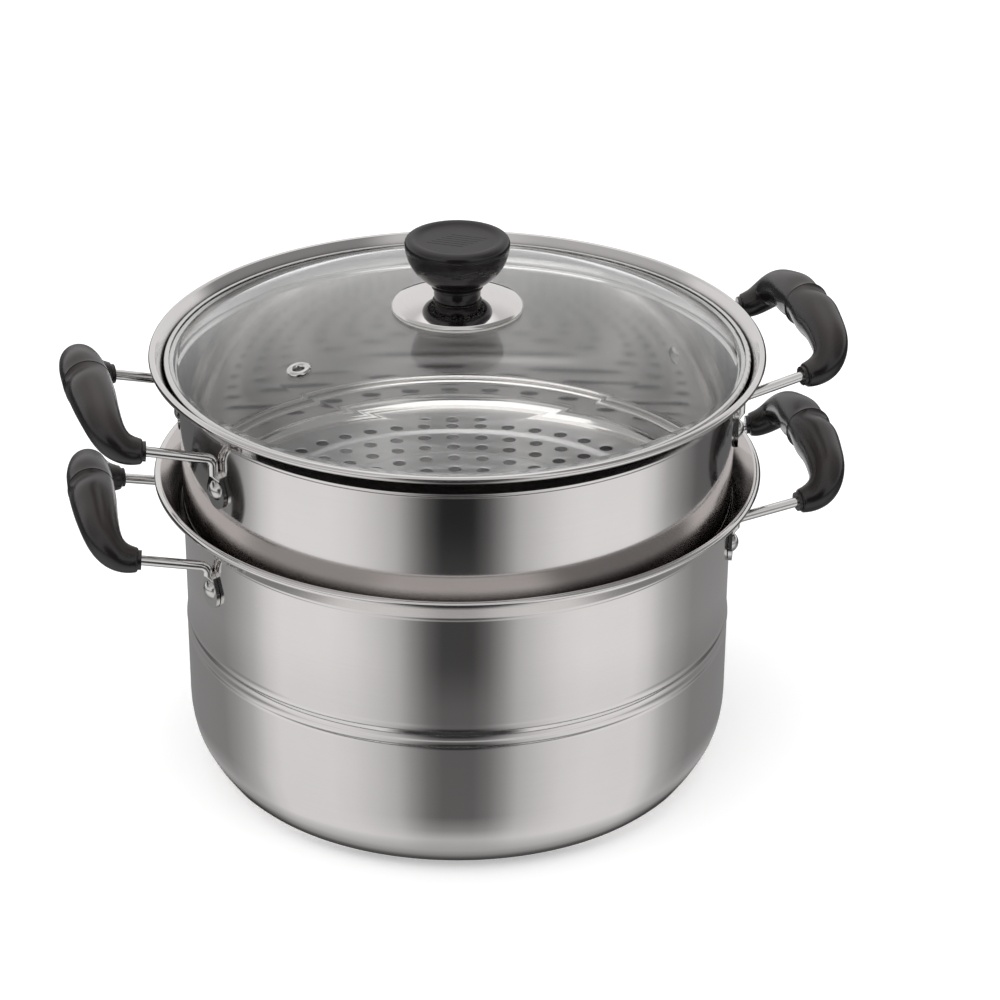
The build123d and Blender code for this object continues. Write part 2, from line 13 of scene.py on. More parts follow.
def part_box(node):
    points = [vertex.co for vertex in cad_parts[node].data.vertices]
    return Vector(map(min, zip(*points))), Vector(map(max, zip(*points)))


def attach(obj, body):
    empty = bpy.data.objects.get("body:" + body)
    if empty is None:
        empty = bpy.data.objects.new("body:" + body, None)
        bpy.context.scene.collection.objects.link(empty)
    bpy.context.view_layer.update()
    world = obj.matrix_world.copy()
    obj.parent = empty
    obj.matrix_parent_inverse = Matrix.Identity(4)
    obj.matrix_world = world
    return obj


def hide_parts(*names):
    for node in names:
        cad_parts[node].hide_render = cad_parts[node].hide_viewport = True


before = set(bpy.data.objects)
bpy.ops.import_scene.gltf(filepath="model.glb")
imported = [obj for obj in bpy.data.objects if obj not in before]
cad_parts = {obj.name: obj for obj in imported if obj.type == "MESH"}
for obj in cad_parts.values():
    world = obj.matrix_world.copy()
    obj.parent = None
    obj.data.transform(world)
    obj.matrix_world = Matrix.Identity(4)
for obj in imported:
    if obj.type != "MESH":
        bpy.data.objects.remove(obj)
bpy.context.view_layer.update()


# Pot
# One vessel deep drawn from 0.6 mm stainless sheet: rounded base, a bead swaged into the wall, a
# ledge for the steamer and a flared rim with a rolled lip. Polished, with fine marks round it.
sheet = 0.0006
wall_radius = 0.1344
lower_wall_gain = 0.0005
ledge_reach = 0.0012
ledge_rise = 0.0024
flare_reach = 0.0106
flare_bend = 0.0025
flare_slope = 55.0
lip_roll = 0.0018
base_corner = 0.016
belly_bend = 0.062
belly_turn = 23.4
swage_height = 0.077
# Outward step and rise of each fold of the bead, from the lowest up.
swage_folds = (
    (-0.0006, 0.0036), (0.0008, 0.0028), (-0.0005 - lower_wall_gain, 0.005), (0.0003, 0.0024),
)
swage_rise = sum(fold_rise for _, fold_rise in swage_folds)
pot_lip_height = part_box("pot_rim")[1][2] - lip_roll

neck_radius = wall_radius + ledge_reach
lip_radius = neck_radius + flare_reach
flare_turn = 90 - flare_slope
flare_foot = neck_radius + flare_bend - flare_bend * sin(radians(flare_slope))
flare_end = lip_radius - lip_roll * sin(radians(flare_slope))
flare_run = (flare_end - flare_foot) / cos(radians(flare_slope))
neck_drop = (
    (flare_bend - lip_roll) * cos(radians(flare_slope))
    + flare_run * sin(radians(flare_slope))
)
ledge_step = neck_radius + sheet - wall_radius


def turned(vector, angle):
    """A flat vector turned by an angle in degrees."""
    return Vector((
        vector.x * cos(radians(angle)) - vector.y * sin(radians(angle)),
        vector.x * sin(radians(angle)) + vector.y * cos(radians(angle)),
    ))


def sheet_face(start, heading, runs, depth, bend_step=5.0):
    """Points along one face of bent sheet: (0, length) runs straight and (radius, turn) bends."""
    spot = Vector(start)
    points = [spot + turned(Vector((0, depth)), heading)]
    for bend, amount in runs:
        if bend == 0:
            spot = spot + turned(Vector((amount, 0)), heading)
            points.append(spot + turned(Vector((0, depth)), heading))
            continue
        signed = copysign(bend, amount)
        centre = spot + turned(Vector((0, signed)), heading)
        steps = max(2, round(abs(amount) / bend_step))
        for step in range(1, steps + 1):
            angle = heading + amount * step / steps
            points.append(centre - turned(Vector((0, signed - depth)), angle))
        heading += amount
        spot = centre - turned(Vector((0, signed)), heading)
    return points, heading


def side_step(step, rise):
    """Turn and total radius of two equal and opposite bends that shift a run sideways."""
    turn = 2 * atan(abs(step) / rise)
    return degrees(turn), rise / sin(turn)


def rimmed_outline(start, heading, runs):
    """Closed outline of a vessel wall from its lowest run to the rolled lip."""
    turn, bends = side_step(ledge_step, ledge_rise)
    rim = [(bends / 2, -turn), (bends / 2, turn), (flare_bend - sheet, -flare_turn), (0, flare_run)]
    outer, _ = sheet_face(start, heading, runs + rim, 0)
    inner, heading = sheet_face(start, heading, runs + rim, sheet)
    hidden = sqrt(lip_roll**2 - (lip_roll - sheet) ** 2)
    outer[-1] = outer[-1] - turned(Vector((hidden, 0)), heading)
    roll_centre = inner[-1] - turned(Vector((0, lip_roll)), heading)
    first = inner[-1] - roll_centre
    last = outer[-1] - roll_centre
    sweep = degrees(atan2(first.y, first.x) - atan2(last.y, last.x)) % 360
    roll_steps = 30
    roll = [
        roll_centre + turned(first, -sweep * step / roll_steps)
        for step in range(1, roll_steps)
    ]
    return inner + roll + list(reversed(outer))


def lathe(name, outline, segments=288, crease=40.0):
    """A closed mesh turned round the vertical axis from a closed outline of radius and height."""
    mesh = bmesh.new()
    rings = []
    for radius, height in outline:
        if radius < 1e-7:
            rings.append([mesh.verts.new((0, 0, height))])
            continue
        rings.append([
            mesh.verts.new((
                radius * cos(2 * pi * number / segments),
                radius * sin(2 * pi * number / segments),
                height,
            ))
            for number in range(segments)
        ])
    for number, ring in enumerate(rings):
        following = rings[(number + 1) % len(rings)]
        if len(ring) == 1 and len(following) == 1:
            continue
        for step in range(segments):
            beside = (step + 1) % segments
            near = ring if len(ring) == 1 else [ring[step], ring[beside]]
            far = following if len(following) == 1 else [following[beside], following[step]]
            mesh.faces.new(near + far)
    bmesh.ops.recalc_face_normals(mesh, faces=mesh.faces)
    return finished_mesh(name, mesh, crease)


def finished_mesh(name, mesh, crease=40.0):
    """Turn a bmesh into a shaded object in the scene."""
    data = bpy.data.meshes.new(name)
    mesh.to_mesh(data)
    mesh.free()
    data.polygons.foreach_set("use_smooth", [True] * len(data.polygons))
    data.set_sharp_from_angle(angle=radians(crease))
    piece = bpy.data.objects.new(name, data)
    bpy.context.scene.collection.objects.link(piece)
    return piece


def new_material(name):
    """An empty procedural material with its shader, its nodes and a maker of further nodes."""
    material = bpy.data.materials.new(name)
    material.use_nodes = True
    nodes = material.node_tree.nodes
    shader = nodes["Principled BSDF"]

    def node(kind, **settings):
        made = nodes.new(kind)
        for setting, value in settings.items():
            if setting in made.inputs:
                made.inputs[setting].default_value = value
            else:
                setattr(made, setting, value)
        return made

    return material, shader, node, material.node_tree.links.new


def round_coordinates(node, link, angle_scale, radius_scale, height_scale):
    """Coordinates that follow a turned piece: angle, radius and height, each at its own scale."""
    place = node("ShaderNodeTexCoord")
    split = node("ShaderNodeSeparateXYZ")
    link(place.outputs["Object"], split.inputs[0])
    angle = node("ShaderNodeMath", operation="ARCTAN2")
    link(split.outputs["Y"], angle.inputs[0])
    link(split.outputs["X"], angle.inputs[1])
    flat = node("ShaderNodeCombineXYZ")
    link(split.outputs["X"], flat.inputs["X"])
    link(split.outputs["Y"], flat.inputs["Y"])
    radius = node("ShaderNodeVectorMath", operation="LENGTH")
    link(flat.outputs[0], radius.inputs[0])
    joined = node("ShaderNodeCombineXYZ")
    for source, target, scale in (
        (angle.outputs[0], "X", angle_scale),
        (radius.outputs["Value"], "Y", radius_scale),
        (split.outputs["Z"], "Z", height_scale),
    ):
        scaled = node("ShaderNodeMath", operation="MULTIPLY")
        scaled.inputs[1].default_value = scale
        link(source, scaled.inputs[0])
        link(scaled.outputs[0], joined.inputs[target])
    return joined.outputs[0]


def spread(node, link, source, low, high, start=0.0, end=1.0):
    """Map a value between start and end onto a range."""
    mapped = node("ShaderNodeMapRange")
    mapped.inputs["From Min"].default_value = start
    mapped.inputs["From Max"].default_value = end
    mapped.inputs["To Min"].default_value = low
    mapped.inputs["To Max"].default_value = high
    link(source, mapped.inputs["Value"])
    return mapped.outputs["Result"]


def two_tones(node, link, source, low, low_at, high, high_at):
    """Colour a 0 to 1 value from one tone to another."""
    tone = node("ShaderNodeValToRGB")
    for stop, colour, place in zip(tone.color_ramp.elements, (low, high), (low_at, high_at)):
        stop.position = place
        stop.color = (*colour, 1)
    link(source, tone.inputs["Fac"])
    return tone.outputs["Color"]


def laid_over(node, link, share, below, colour):
    """Lay a plain colour over a tone by a share."""
    mix = node("ShaderNodeMix", data_type="RGBA")
    link(share, mix.inputs["Factor"])
    link(below, mix.inputs[6])
    mix.inputs[7].default_value = (*colour, 1)
    return mix.outputs[2]


def embossed(node, link, shader, source, strength, depth):
    """Fine relief in a finish."""
    bump = node("ShaderNodeBump")
    bump.inputs["Strength"].default_value = strength
    bump.inputs["Distance"].default_value = depth
    link(source, bump.inputs["Height"])
    link(bump.outputs["Normal"], shader.inputs["Normal"])


def facing_up(node, link, start, end):
    """Nothing on faces that look up less than the start, one on those that do past the end."""
    facing = node("ShaderNodeSeparateXYZ")
    link(node("ShaderNodeNewGeometry").outputs["Normal"], facing.inputs[0])
    return spread(node, link, facing.outputs["Z"], 0.0, 1.0, start, end)


# Painted shade: upturned faces in narrow seams of pot and steamer are darkened towards this
# brown-black by ambient occlusion.
painted_seam_shade = (0.06, 0.053, 0.05)
seam_shade_open = 0.8
seam_shade_shut = 0.55
seam_shade_lean = (0.2, 0.4)
marks_depth = 0.00002


def turned_steel(name, light, dark, roughness, lines, grain=0.35, gap=0.0, marks=0.06):
    """Steel finished on a lathe: fine lines run round the piece, over faint cloudy staining.

    Gap is the width of the upturned seams that are darkened with painted shade.
    """
    material, shader, node, link = new_material(name)
    shader.inputs["Metallic"].default_value = 1.0
    fine = node("ShaderNodeTexNoise", Scale=1.0, Detail=3.0, Roughness=0.6)
    link(round_coordinates(node, link, 2.0, lines, lines), fine.inputs["Vector"])
    cloud = node("ShaderNodeTexNoise", Scale=22.0, Detail=4.0, Roughness=0.55)
    link(node("ShaderNodeTexCoord").outputs["Object"], cloud.inputs["Vector"])
    mixed = node("ShaderNodeMix", data_type="FLOAT")
    mixed.inputs["Factor"].default_value = grain
    link(cloud.outputs["Fac"], mixed.inputs[2])
    link(fine.outputs["Fac"], mixed.inputs[3])
    colour = two_tones(node, link, mixed.outputs[0], dark, 0.3, light, 0.7)
    # Painted shade in the seams, laid over the steel's own colour.
    if gap:
        closed = node("ShaderNodeAmbientOcclusion", samples=8)
        closed.inputs["Distance"].default_value = gap
        shut = spread(node, link, closed.outputs["AO"], 0.0, 1.0, seam_shade_open, seam_shade_shut)
        seam_shade_share = node("ShaderNodeMath", operation="MULTIPLY")
        link(shut, seam_shade_share.inputs[0])
        link(facing_up(node, link, *seam_shade_lean), seam_shade_share.inputs[1])
        colour = laid_over(node, link, seam_shade_share.outputs[0], colour, painted_seam_shade)
    link(colour, shader.inputs["Base Color"])
    gloss = spread(node, link, mixed.outputs[0], roughness * 0.8, roughness * 1.25)
    link(gloss, shader.inputs["Roughness"])
    embossed(node, link, shader, fine.outputs["Fac"], marks, marks_depth)
    return material


corner_turn = 90 - belly_turn
base_flat = (
    wall_radius + lower_wall_gain - belly_bend
    + (belly_bend - base_corner) * cos(radians(belly_turn))
)
wall_start = base_corner + (belly_bend - base_corner) * sin(radians(belly_turn))
swage_runs = []
for fold_step, fold_rise in swage_folds:
    fold_turn, fold_bends = side_step(fold_step, fold_rise)
    if fold_step > 0:
        fold_turn = -fold_turn
    swage_runs += [(fold_bends / 2, fold_turn), (fold_bends / 2, -fold_turn)]

pot = lathe("pot_vessel", rimmed_outline((0, 0), 0, [
    (0, base_flat),
    (base_corner, corner_turn),
    (belly_bend, belly_turn),
    (0, swage_height - swage_rise / 2 - wall_start),
    *swage_runs,
    (0, pot_lip_height - neck_drop - ledge_rise - swage_height - swage_rise / 2),
]))
# The vessel steel gets painted shade in its upturned seams.
vessel_steel = turned_steel(
    "vessel_steel", (0.80, 0.775, 0.765), (0.76, 0.735, 0.725), roughness=0.1, lines=2600.0,
    gap=0.008,
)
pot.data.materials.append(vessel_steel)
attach(pot, "pot")
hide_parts("pot_shell", "pot_rim")


# Steamer wall
# Pressed from the same sheet with the same rim. Its shoulder sits on the pot's ledge and a
# narrower skirt hangs down inside the pot to the punched floor.
skirt_radius = 0.1285
shoulder_bend = 0.0025
shoulder_inner_bend = 0.001
seat_gap = 0.0003
floor_corner = 0.007
floor_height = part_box("steamer_shell")[0][2]
steamer_lip_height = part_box("steamer_rim")[1][2] - lip_roll

ledge_bends = side_step(ledge_step, ledge_rise)[1]
shoulder_reach = ledge_bends / 2 + shoulder_bend
shoulder_lift = sqrt(
    (ledge_bends / 2 + sheet + shoulder_bend + seat_gap) ** 2 - shoulder_reach**2
)
shoulder_height = pot_lip_height - neck_drop - ledge_rise + shoulder_lift - shoulder_bend

steamer = lathe("steamer_wall", rimmed_outline((skirt_radius - floor_corner, floor_height), 0, [
    (floor_corner, 90),
    (0, shoulder_height - shoulder_inner_bend - floor_height - floor_corner),
    (shoulder_inner_bend, -90),
    (0, wall_radius - shoulder_bend - skirt_radius - shoulder_inner_bend),
    (shoulder_bend, 90),
    (0, steamer_lip_height - neck_drop - ledge_rise - shoulder_height - shoulder_bend),
]))
steamer.data.materials.append(vessel_steel)
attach(steamer, "steamer")
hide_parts("steamer_shell", "steamer_rim")


# Steamer floor
# The bottom of the same pressing, embossed into three levels for stiffness and punched with
# rings of round holes. The punch rolls the upper edge of each hole over a little.
floor_radius = skirt_radius - floor_corner
hole_radius = 0.0034
hole_pitch = 0.0147
hole_first_angle = 80.4
hole_sides = 28
ring_radius_shares = (0.884, 0.776, 0.67, 0.533, 0.418, 0.315, 0.207, 0.1)
level_step_shares = (0.601, 0.831)
step_depth = 0.0012
step_run = 0.005
step_circles = 10
roll_over = 0.0004
# Inward and downward share of each ring of points on a rolled edge.
roll_shares = ((0.6, 0.12), (0.9, 0.45), (1.0, 1.0))


def floor_level(radius):
    """Height of the floor's upper face: the middle level lies lower than the other two."""
    drop = 0.0
    for number, share in enumerate(level_step_shares):
        along = (radius - share * floor_radius) / step_run + 0.5
        along = min(1.0, max(0.0, along))
        smooth = along * along * (3 - 2 * along)
        drop += step_depth * smooth * (1 if number == 0 else -1)
    return floor_height + sheet - drop


def punched_floor():
    """A disc of sheet metal with its steps and its rings of holes."""
    spots = []
    edges = []

    def add_circle(x, y, radius, sides):
        first = len(spots)
        for number in range(sides):
            angle = 2 * pi * number / sides
            spots.append(Vector((x + radius * cos(angle), y + radius * sin(angle))))
            edges.append((first + number, first + (number + 1) % sides))

    centres = []
    for share in ring_radius_shares:
        ring = floor_radius * share
        count = round(2 * pi * ring / hole_pitch)
        for number in range(count):
            angle = radians(hole_first_angle) + 2 * pi * number / count
            centres.append(Vector((ring * cos(angle), ring * sin(angle))))
    for centre in centres:
        add_circle(centre.x, centre.y, hole_radius + roll_over, hole_sides)
    for share in level_step_shares:
        for number in range(step_circles + 1):
            radius = share * floor_radius + (number / step_circles - 0.5) * step_run
            add_circle(0, 0, radius, 180)
    add_circle(0, 0, floor_radius, 288)
    made = delaunay_2d_cdt(spots, edges, [], 0, 1e-7)
    flat_spots, faces = made[0], made[2]

    mesh = bmesh.new()
    top = [mesh.verts.new((spot.x, spot.y, floor_level(spot.length))) for spot in flat_spots]
    bottom = [mesh.verts.new((vert.co.x, vert.co.y, vert.co.z - sheet)) for vert in top]
    hole_of = {}
    for vert, spot in zip(top, flat_spots):
        for number, centre in enumerate(centres):
            if abs((spot - centre).length - hole_radius - roll_over) < 1e-5:
                hole_of[vert] = number
    for corners in faces:
        numbers = {hole_of.get(top[corner], -1) for corner in corners}
        if len(numbers) == 1 and -1 not in numbers:
            continue
        mesh.faces.new([top[corner] for corner in corners])
        mesh.faces.new([bottom[corner] for corner in reversed(corners)])
    rims = {}
    for vert, number in hole_of.items():
        rims.setdefault(number, []).append(vert)
    below = dict(zip(top, bottom))
    for number, ring in rims.items():
        centre = centres[number]
        ring.sort(key=lambda vert: atan2(vert.co.y - centre.y, vert.co.x - centre.x))
        level = ring[0].co.z
        layers = [ring]
        for inset, drop in roll_shares:
            narrowed = 1 - roll_over * inset / (hole_radius + roll_over)
            layers.append([
                mesh.verts.new((
                    centre.x + (vert.co.x - centre.x) * narrowed,
                    centre.y + (vert.co.y - centre.y) * narrowed,
                    level - roll_over * drop,
                ))
                for vert in ring
            ])
        layers.append([
            mesh.verts.new((vert.co.x, vert.co.y, level - sheet)) for vert in layers[-1]
        ])
        layers.append([below[vert] for vert in ring])
        for upper, lower in zip(layers, layers[1:]):
            for step in range(len(ring)):
                following = (step + 1) % len(ring)
                mesh.faces.new((upper[step], upper[following], lower[following], lower[step]))
    edge = [vert for vert, spot in zip(top, flat_spots) if spot.length > floor_radius - 1e-5]
    edge.sort(key=lambda vert: atan2(vert.co.y, vert.co.x))
    for step, vert in enumerate(edge):
        following = edge[(step + 1) % len(edge)]
        mesh.faces.new((vert, following, below[following], below[vert]))
    bmesh.ops.recalc_face_normals(mesh, faces=mesh.faces)
    return finished_mesh("steamer_floor_sheet", mesh, 50.0)


floor_steel = turned_steel(
    "floor_steel", (0.70, 0.69, 0.70), (0.62, 0.615, 0.62), roughness=0.36, lines=900.0,
    grain=0.1, marks=0.0,
)
floor_sheet = punched_floor()
floor_sheet.data.materials.append(floor_steel)
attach(floor_sheet, "steamer")
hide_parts("steamer_floor")


# Handle rods and rivets
# Bright drawn steel rod: flattened and punched at the wall, bent outward, its far end moulded
# into the grip. Each is held by one domed rivet.
rod_steel = turned_steel(
    "rod_steel", (0.80, 0.79, 0.78), (0.70, 0.69, 0.68), roughness=0.08, lines=300.0
)
rivet_steel = turned_steel(
    "rivet_steel", (0.74, 0.73, 0.72), (0.6, 0.59, 0.58), roughness=0.18, lines=500.0
)


def finish(name, material):
    """Give a CAD node its finish."""
    node_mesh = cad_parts[name].data
    node_mesh.materials.clear()
    node_mesh.materials.append(material)


handles = [(vessel, side) for vessel in ("pot", "steamer") for side in ("right", "left")]
for vessel, side in handles:
    finish(f"{vessel}_leg_{side}_front", rod_steel)
    finish(f"{vessel}_leg_{side}_back", rod_steel)
    finish(f"{vessel}_rivets_{side}", rivet_steel)


# Grips
# Black phenolic resin moulded round the rod ends: thick bar, upright shoulders and thin collars.
# Glossy below and duller on top from handling, with a lighter brown painted sheen on top and the
# mould's line round the middle.
mould_grain_strength = 0.12
mould_grain_depth = 0.00005
# Faces that look up are duller from handling and carry a painted sheen.
wear_and_sheen_lean = (0.35, 0.85)


def moulded(name, colour, worn, roughness, top_gain, grain, top_sheen_tone=None):
    """Moulded resin or rubber with soft mottling, rougher by top_gain where it faces up, and with a
    lighter painted sheen laid on there when a top tone is given.
    """
    material, shader, node, link = new_material(name)
    place = node("ShaderNodeTexCoord")
    mottle = node("ShaderNodeTexNoise", Scale=60.0, Detail=5.0, Roughness=0.6)
    link(place.outputs["Object"], mottle.inputs["Vector"])
    fine = node("ShaderNodeTexNoise", Scale=grain, Detail=2.0)
    link(place.outputs["Object"], fine.inputs["Vector"])
    upper = facing_up(node, link, *wear_and_sheen_lean)
    tone = two_tones(node, link, mottle.outputs["Fac"], colour, 0.35, worn, 0.75)
    # Painted sheen: faces that look up are laid over with a lighter tone.
    if top_sheen_tone:
        tone = laid_over(node, link, upper, tone, top_sheen_tone)
    link(tone, shader.inputs["Base Color"])
    gloss = spread(node, link, mottle.outputs["Fac"], roughness * 0.8, roughness * 1.2)
    dull = node("ShaderNodeMath", operation="MULTIPLY_ADD")
    link(upper, dull.inputs[0])
    dull.inputs[1].default_value = top_gain
    link(gloss, dull.inputs[2])
    link(dull.outputs[0], shader.inputs["Roughness"])
    embossed(node, link, shader, fine.outputs["Fac"], mould_grain_strength, mould_grain_depth)
    return material


mould_line = 0.00022
steamer_handle_turn = 4.2


def mould_ring(name, source, origin, normal):
    """A fine raised line where a plane cuts a moulded piece."""
    cut = bmesh.new()
    cut.from_mesh(source.data)
    bmesh.ops.remove_doubles(cut, verts=cut.verts, dist=1e-6)
    made = bmesh.ops.bisect_plane(
        cut, geom=cut.verts[:] + cut.edges[:] + cut.faces[:], plane_co=origin, plane_no=normal
    )
    edges = [part for part in made["geom_cut"] if isinstance(part, bmesh.types.BMEdge)]
    neighbours = {}
    for edge in edges:
        for vert in edge.verts:
            neighbours.setdefault(vert, []).append(edge.other_vert(vert))
    walk = [edges[0].verts[0]]
    seen = {walk[0]}
    while True:
        onward = [vert for vert in neighbours[walk[-1]] if vert not in seen]
        if not onward:
            break
        walk.append(onward[0])
        seen.add(onward[0])
    loop = [vert.co.copy() for vert in walk]
    cut.free()
    path = bpy.data.curves.new(name, "CURVE")
    path.dimensions = "3D"
    path.bevel_depth = mould_line
    path.bevel_resolution = 2
    line = path.splines.new("POLY")
    line.points.add(len(loop) - 1)
    for point, spot in zip(line.points, loop):
        point.co = (*spot, 1)
    line.use_cyclic_u = True
    drawn = bpy.data.objects.new(name, path)
    bpy.context.scene.collection.objects.link(drawn)
    ready = drawn.evaluated_get(bpy.context.evaluated_depsgraph_get())
    shape = bpy.data.meshes.new_from_object(ready)
    bpy.data.objects.remove(drawn)
    shape.name = name
    ring = bpy.data.objects.new(name, shape)
    bpy.context.scene.collection.objects.link(ring)
    shape.polygons.foreach_set("use_smooth", [True] * len(shape.polygons))
    return ring


# The grips' upturned faces get a lighter brown painted sheen.
grip_black = moulded(
    "grip_black", (0.006, 0.005, 0.005), (0.012, 0.010, 0.010), 0.2, top_gain=0.14, grain=900.0,
    top_sheen_tone=(0.032, 0.026, 0.025),
)
for vessel, side in handles:
    name = f"{vessel}_grip_{side}"
    finish(name, grip_black)
    turn = radians(steamer_handle_turn if vessel == "steamer" else 0.0)
    line = mould_ring(
        f"{name}_mould_line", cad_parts[name], (0, 0, 0), (-sin(turn), cos(turn), 0)
    )
    line.data.materials.clear()
    line.data.materials.append(grip_black)
    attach(line, vessel)


# Lid glass
# Domed tempered glass, 3 mm thick, with a flat flange and a ground round edge. One hole takes the
# vent eyelet and one, in the middle, takes the knob's screw.
glass_thickness = 0.003
glass_radius = 0.1393
dome_reach = 0.105
dome_radius = 0.477
dome_rise = 0.0238
dome_edge_bend = 0.104
glass_fall = 30.0
flange_bend = 0.004
glass_bore = 0.004
vent_distance = 0.092
vent_turn = -153.8
vent_hole = 0.0032
vent_sides = 32
glass_segments = 288
glass_step = 0.5

glass_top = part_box("lid_glass")[1][2]
dome_turn = degrees(asin(dome_reach / dome_radius))
dome_fall = (
    dome_radius * (1 - cos(radians(dome_turn)))
    + dome_edge_bend * (cos(radians(dome_turn)) - cos(radians(glass_fall)))
    + flange_bend * (1 - cos(radians(glass_fall)))
)
glass_slope = (dome_rise - dome_fall) / sin(radians(glass_fall))
flange_start = (
    dome_reach
    + dome_edge_bend * (sin(radians(glass_fall)) - sin(radians(dome_turn)))
    + glass_slope * cos(radians(glass_fall))
    + flange_bend * sin(radians(glass_fall))
)
glass_runs = [
    (dome_radius, -dome_turn),
    (dome_edge_bend, dome_turn - glass_fall),
    (0, glass_slope),
    (flange_bend, glass_fall),
    (0, glass_radius - glass_thickness / 2 - flange_start),
]


def dome_level(radius, depth):
    """Height of the dome's face at a radius."""
    return glass_top - dome_radius + sqrt((dome_radius + depth) ** 2 - radius**2)


def glass_face(mesh, depth):
    """One face of the glass, with its holes: its outer ring and the rings of its two holes."""
    outline, _ = sheet_face((0, glass_top), 0, glass_runs, depth, glass_step)
    vent_shift = depth * vent_distance / dome_radius
    vent = turned(Vector((vent_distance + vent_shift, 0)), vent_turn)
    circles = [(glass_bore, dome_level(glass_bore, depth))]
    circles += [(spot.x, spot.y) for spot in outline if spot.x > glass_bore * 1.3]
    spots, heights, edges = [], [], []
    for number in range(vent_sides):
        angle = 2 * pi * number / vent_sides
        spot = vent + Vector((vent_hole * cos(angle), vent_hole * sin(angle)))
        spots.append(spot)
        heights.append(dome_level(spot.length, depth))
        edges.append((number, (number + 1) % vent_sides))
    for radius, height in circles:
        for number in range(glass_segments):
            angle = 2 * pi * number / glass_segments
            spot = Vector((radius * cos(angle), radius * sin(angle)))
            if (spot - vent).length > vent_hole * 1.25:
                spots.append(spot)
                heights.append(height)
    flat_spots, _, faces, origins = delaunay_2d_cdt(spots, edges, [], 0, 1e-8)[:4]
    verts = [
        mesh.verts.new((spot.x, spot.y, heights[origins[number][0]]))
        for number, spot in enumerate(flat_spots)
    ]
    for corners in faces:
        middle = sum((flat_spots[corner] for corner in corners), Vector((0, 0))) / 3
        if (middle - vent).length < vent_hole * 0.98 or middle.length < glass_bore * 0.999:
            continue
        if middle.length < glass_radius - glass_thickness / 2:
            mesh.faces.new([verts[corner] for corner in corners])
    place_of = {origin: number for number, found in enumerate(origins) for origin in found}

    def ring(first, count):
        return [verts[place_of[first + number]] for number in range(count)]

    outer = ring(len(spots) - glass_segments, glass_segments)
    return outer, ring(vent_sides, glass_segments), ring(0, vent_sides)


def join_rings(mesh, rings):
    """Skin a run of rings that have the same count of points."""
    for near, far in zip(rings, rings[1:]):
        for step in range(len(near)):
            following = (step + 1) % len(near)
            mesh.faces.new((near[step], near[following], far[following], far[step]))


def clear_glass(name, tint):
    """Tempered sheet glass: clear, very slightly grey, with faint smears in its gloss."""
    material, shader, node, link = new_material(name)
    shader.inputs["Transmission Weight"].default_value = 1.0
    shader.inputs["IOR"].default_value = 1.45
    place = node("ShaderNodeTexCoord")
    smear = node("ShaderNodeTexNoise", Scale=30.0, Detail=6.0, Roughness=0.6)
    link(place.outputs["Object"], smear.inputs["Vector"])
    tone = two_tones(node, link, smear.outputs["Fac"], tint, 0.0, (0.99, 0.995, 0.99), 1.0)
    link(tone, shader.inputs["Base Color"])
    link(spread(node, link, smear.outputs["Fac"], 0.0, 0.01), shader.inputs["Roughness"])
    return material


glass_mesh = bmesh.new()
upper_rings = glass_face(glass_mesh, 0)
lower_rings = glass_face(glass_mesh, -glass_thickness)
edge_rings = [upper_rings[0]]
edge_steps = 8
for step in range(1, edge_steps):
    angle = pi * step / edge_steps
    edge_rings.append([
        glass_mesh.verts.new((
            vert.co.x * (1 + glass_thickness / 2 * sin(angle) / vert.co.xy.length),
            vert.co.y * (1 + glass_thickness / 2 * sin(angle) / vert.co.xy.length),
            vert.co.z - glass_thickness / 2 * (1 - cos(angle)),
        ))
        for vert in upper_rings[0]
    ])
join_rings(glass_mesh, edge_rings + [lower_rings[0]])
join_rings(glass_mesh, [upper_rings[1], lower_rings[1]])
join_rings(glass_mesh, [upper_rings[2], lower_rings[2]])
bmesh.ops.recalc_face_normals(glass_mesh, faces=glass_mesh.faces)
glass = finished_mesh("lid_glass_dome", glass_mesh, 50.0)
glass.data.materials.append(clear_glass("lid_glass", (0.95, 0.965, 0.96)))
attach(glass, "lid")
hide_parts("lid_glass")


# Lid band and vent eyelet
# A channel of thin polished steel rolled over the glass edge, and a flanged steel tube pressed
# into the steam hole.
band_steel = turned_steel(
    "band_steel", (0.78, 0.765, 0.755), (0.68, 0.67, 0.66), roughness=0.12, lines=1500.0
)
finish("lid_band", band_steel)
finish("vent_eyelet", band_steel)


# Knob saucer and fixings
# A mirror polished dish pressed from steel sheet, between knob and glass on a thin silicone ring.
# Under the glass a screw, a steel and a silicone washer clamp it all into the knob's brass insert.
saucer_steel = turned_steel(
    "saucer_steel", (0.84, 0.81, 0.80), (0.78, 0.75, 0.74), roughness=0.06, lines=1200.0
)
silicone = moulded(
    "silicone", (0.62, 0.61, 0.58), (0.72, 0.71, 0.68), 0.5, top_gain=0.0, grain=700.0
)
insert_brass = turned_steel(
    "insert_brass", (0.8, 0.62, 0.32), (0.7, 0.52, 0.25), roughness=0.25, lines=1500.0
)
saucer_radius = 0.0315
saucer_sheet = 0.001
saucer_flat = 0.011
saucer_bore = 0.00255
saucer_start_slope = 2.0
saucer_end_slope = 24.1
saucer_rim_bend = 0.003
saucer_rim_slope = 64.0
saucer_bow = (
    saucer_radius - saucer_flat
    - saucer_rim_bend * (sin(radians(saucer_rim_slope)) - sin(radians(saucer_end_slope)))
) / (sin(radians(saucer_end_slope)) - sin(radians(saucer_start_slope)))
saucer_runs = [
    (0, saucer_flat - saucer_bore),
    (saucer_rim_bend / 4, -saucer_start_slope),
    (saucer_bow, saucer_start_slope - saucer_end_slope),
    (saucer_rim_bend, saucer_end_slope - saucer_rim_slope),
]
saucer_start = (saucer_bore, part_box("knob_saucer")[1][2])
saucer_over, _ = sheet_face(saucer_start, 0, saucer_runs, 0, 1.5)
